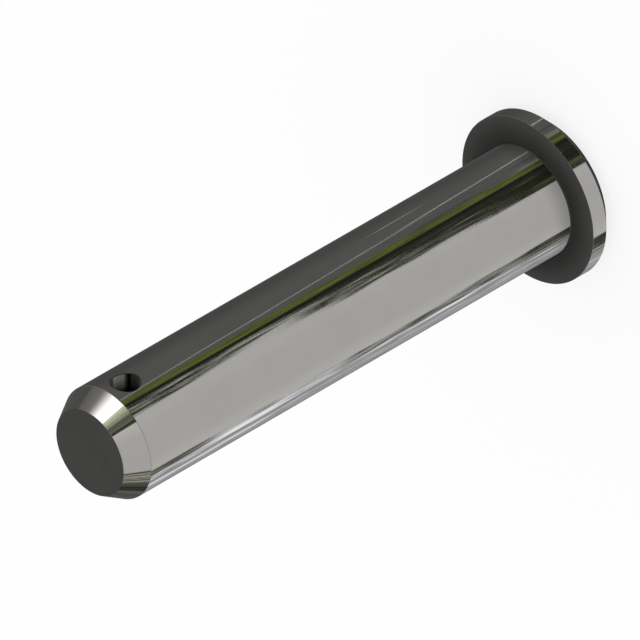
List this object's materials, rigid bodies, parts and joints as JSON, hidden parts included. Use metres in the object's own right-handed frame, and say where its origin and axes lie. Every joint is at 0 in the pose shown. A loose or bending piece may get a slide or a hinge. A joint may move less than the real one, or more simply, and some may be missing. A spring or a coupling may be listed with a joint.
{
  "type": "clevis pin",
  "caption": "Turned steel clevis pin: a flat bevelled head, a plain round shank, a tapered lead-in point and a cross hole for a split pin.",
  "frame": {"origin": "centre of the head's end face, on which the pin stands", "axes": "+Z along the pin's axis from the head to the point, +Y along the cross hole, +X square to both"},
  "size_m": [0.03, 0.03, 0.105],
  "materials": {
    "bright_steel": "bright ground and polished, bare"
  },
  "bodies": {
    "root": {"clevis_pin": "bright_steel"}
  },
  "joints": []
}
